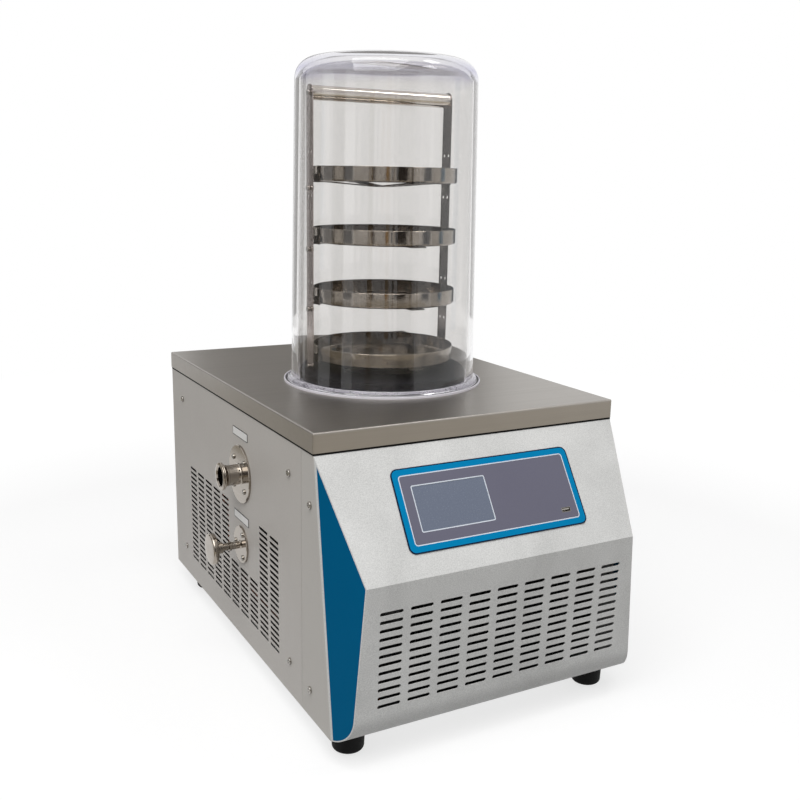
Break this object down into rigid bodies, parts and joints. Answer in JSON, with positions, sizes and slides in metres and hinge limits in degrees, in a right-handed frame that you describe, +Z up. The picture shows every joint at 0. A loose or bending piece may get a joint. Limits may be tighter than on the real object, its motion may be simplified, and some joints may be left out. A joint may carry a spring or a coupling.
{
  "type": "bench-top freeze dryer",
  "caption": "Bench-top freeze dryer: a sheet-metal cabinet with a sloping control front, a cold trap under a clear bell jar, and a lift-out rack of drying trays.",
  "frame": {"origin": "on the bench under the common axis of the bell jar, seal ring and cold trap, in the cabinet's centre plane", "axes": "+Z up, -Y towards the sloping control front, +X to the right seen from the front; the vacuum port and drain valve are on -X"},
  "size_m": [0.4771, 0.6597, 0.823],
  "materials": {
    "side_grey": "smooth grey powder coat",
    "front_grey": "textured light grey powder coat",
    "blue_paint": "blue powder coat",
    "stainless": "brushed stainless",
    "polished_steel": "polished",
    "zinc": "zinc plated",
    "screw_steel": "bright",
    "rubber_black": "matt",
    "silicone": "satin",
    "acrylic": "clear cast acrylic",
    "disc_black": "matt",
    "label_white": "satin",
    "panel_film": "printed film",
    "screen": "touch screen",
    "black_plastic": "moulded",
    "board_green": "solder mask",
    "brass": "turned",
    "foam": "foamed in place",
    "copper": "copper tube",
    "aluminium": "mill finish",
    "black_paint": "gloss black enamel",
    "fan_plastic": "moulded"
  },
  "bodies": {
    "dryer": {"base_frame": "zinc", "bell_jar": "acrylic", "board_standoffs": "brass", "cold_trap": "stainless", "compressor": "black_paint", "compressor_bolts": "zinc", "compressor_grommets": "rubber_black", "condenser": "aluminium", "control_board": "board_green", "control_panel": "panel_film", "drain_pipe": "stainless", "drain_valve_body": "polished_steel", "drain_valve_screws": "screw_steel", "evaporator_coil": "copper", "fan_motor": "black_paint", "fan_shroud": "black_paint", "fascia_screws": "screw_steel", "feet": "rubber_black", "filter_drier": "copper", "foot_bolts": "zinc", "front_fascia": "front_grey", "handle_bar": "polished_steel", "handle_screws": "screw_steel", "left_cheek": "blue_paint", "left_post": "stainless", "left_side_panel": "side_grey", "mains_inlet": "black_plastic", "port_label_plates": "label_white", "power_supply": "aluminium", "power_switch_frame": "black_plastic", "pump_outlet": "black_plastic", "rear_panel": "side_grey", "rear_panel_screws": "screw_steel", "refrigerant_lines": "copper", "right_cheek": "blue_paint", "right_post": "stainless", "right_side_panel": "side_grey", "seal_ring": "silicone", "shelf_screws": "screw_steel", "shelf_support_1": "stainless", "shelf_support_2": "stainless", "shelf_support_3": "stainless", "shelf_support_4": "stainless", "side_panel_screws": "screw_steel", "touch_screen": "screen", "trap_cover": "disc_black", "trap_insulation": "foam", "tray_1": "stainless", "tray_2": "stainless", "tray_3": "stainless", "tray_4": "stainless", "usb_socket": "zinc", "vacuum_pipe": "stainless", "vacuum_port": "polished_steel", "vacuum_port_screws": "screw_steel", "worktop": "stainless"},
    "fan": {"fan_rotor": "fan_plastic"},
    "valve_knob": {"drain_valve_knob": "polished_steel"},
    "rocker": {"power_switch_rocker": "black_plastic"}
  },
  "joints": [
    {"name": "fan_spin", "type": "hinge", "parent": "dryer", "child": "fan", "pos_m": [0, -0.23, 0.107], "axis": [0, 1, 0], "continuous": true},
    {"name": "drain_valve_turn", "type": "hinge", "parent": "dryer", "child": "valve_knob", "pos_m": [-0.2425, 0, 0.169], "axis": [-1, 0, 0], "range_deg": [0, 360]},
    {"name": "power_rocker", "type": "hinge", "parent": "dryer", "child": "rocker", "pos_m": [-0.06, 0.322, 0.095], "axis": [1, 0, 0], "range_deg": [-16, 0]}
  ]
}
